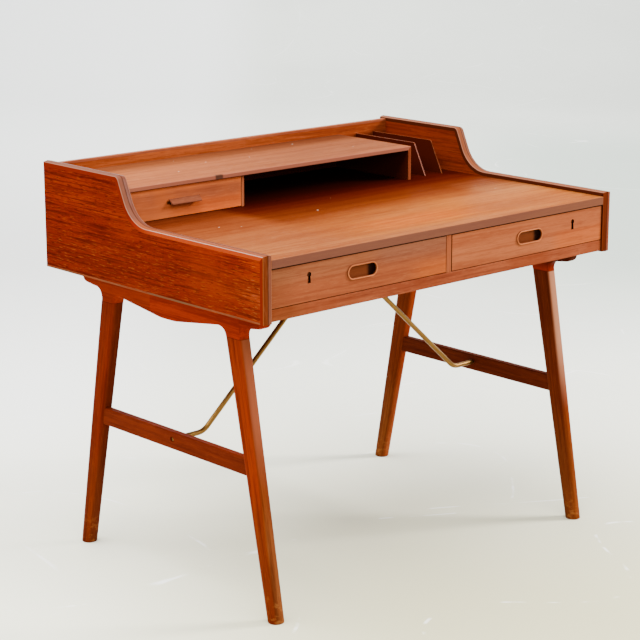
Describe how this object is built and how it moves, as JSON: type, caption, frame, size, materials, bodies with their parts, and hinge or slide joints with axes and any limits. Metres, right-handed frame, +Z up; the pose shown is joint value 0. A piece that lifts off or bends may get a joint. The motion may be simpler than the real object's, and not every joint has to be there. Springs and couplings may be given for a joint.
{
  "type": "writing desk",
  "caption": "Teak writing desk with drawers, a low gallery with shelf, pen drawer and letter rack, on sculpted leg frames stayed by bent brass rods.",
  "frame": {"origin": "on the floor, under the middle of the desk's outline", "axes": "+X to the right seen from the sitter's place, +Y to the back, +Z up"},
  "size_m": [1, 0.7, 0.84],
  "materials": {
    "teak_veneer": "satin lacquer on straight-grained teak veneer",
    "solid_teak": "satin lacquer on solid teak",
    "frame_teak": "satin lacquer on darker solid teak",
    "drawer_wood": "waxed pale hardwood",
    "plywood": "lacquered thin plywood",
    "brass": "aged brass",
    "steel": "plain steel"
  },
  "bodies": {
    "desk": {"left_side_panel": "teak_veneer", "left_front_edging": "solid_teak", "left_top_edging": "solid_teak", "left_bottom_edging": "solid_teak", "right_side_panel": "teak_veneer", "right_front_edging": "solid_teak", "right_top_edging": "solid_teak", "right_bottom_edging": "solid_teak", "desktop_panel": "teak_veneer", "desktop_front_edging": "solid_teak", "back_panel": "teak_veneer", "back_top_edging": "solid_teak", "bottom_panel": "plywood", "front_bottom_rail": "solid_teak", "centre_partition": "solid_teak", "drawer_runners": "drawer_wood", "drawer_stops": "drawer_wood", "upper_shelf": "teak_veneer", "drawer_upright": "solid_teak", "shelf_partition": "teak_veneer", "inner_letter_divider": "teak_veneer", "outer_letter_divider": "teak_veneer", "left_frame_rail": "frame_teak", "left_front_shoulder": "frame_teak", "left_rear_shoulder": "frame_teak", "left_front_leg": "frame_teak", "left_rear_leg": "frame_teak", "left_stretcher": "frame_teak", "left_brass_rod": "brass", "right_frame_rail": "frame_teak", "right_front_shoulder": "frame_teak", "right_rear_shoulder": "frame_teak", "right_front_leg": "frame_teak", "right_rear_leg": "frame_teak", "right_stretcher": "frame_teak", "right_brass_rod": "brass", "rod_screws": "brass", "frame_screws": "steel"},
    "left_drawer": {"left_drawer_front": "teak_veneer", "left_drawer_left_side": "drawer_wood", "left_drawer_right_side": "drawer_wood", "left_drawer_back": "drawer_wood", "left_drawer_bottom": "plywood", "left_drawer_pull": "solid_teak", "left_drawer_lock_case": "steel"},
    "left_lock_bolt": {"left_drawer_lock_bolt": "steel"},
    "right_drawer": {"right_drawer_front": "teak_veneer", "right_drawer_left_side": "drawer_wood", "right_drawer_right_side": "drawer_wood", "right_drawer_back": "drawer_wood", "right_drawer_bottom": "plywood", "right_drawer_pull": "solid_teak", "right_drawer_lock_case": "steel"},
    "right_lock_bolt": {"right_drawer_lock_bolt": "steel"},
    "pen_drawer": {"pen_drawer_front": "solid_teak", "pen_drawer_left_side": "drawer_wood", "pen_drawer_right_side": "drawer_wood", "pen_drawer_back": "drawer_wood", "pen_drawer_bottom": "plywood", "pen_drawer_handle": "solid_teak"}
  },
  "joints": [
    {"name": "left_drawer_slide", "type": "slide", "parent": "desk", "child": "left_drawer", "axis": [0, -1, 0], "range_m": [0, 0.4]},
    {"name": "left_lock_bolt_slide", "type": "slide", "parent": "left_drawer", "child": "left_lock_bolt", "axis": [0, 0, 1], "range_m": [0, 0.006]},
    {"name": "right_drawer_slide", "type": "slide", "parent": "desk", "child": "right_drawer", "axis": [0, -1, 0], "range_m": [0, 0.4]},
    {"name": "right_lock_bolt_slide", "type": "slide", "parent": "right_drawer", "child": "right_lock_bolt", "axis": [0, 0, 1], "range_m": [0, 0.006]},
    {"name": "pen_drawer_slide", "type": "slide", "parent": "desk", "child": "pen_drawer", "axis": [0, -1, 0], "range_m": [0, 0.15]}
  ]
}
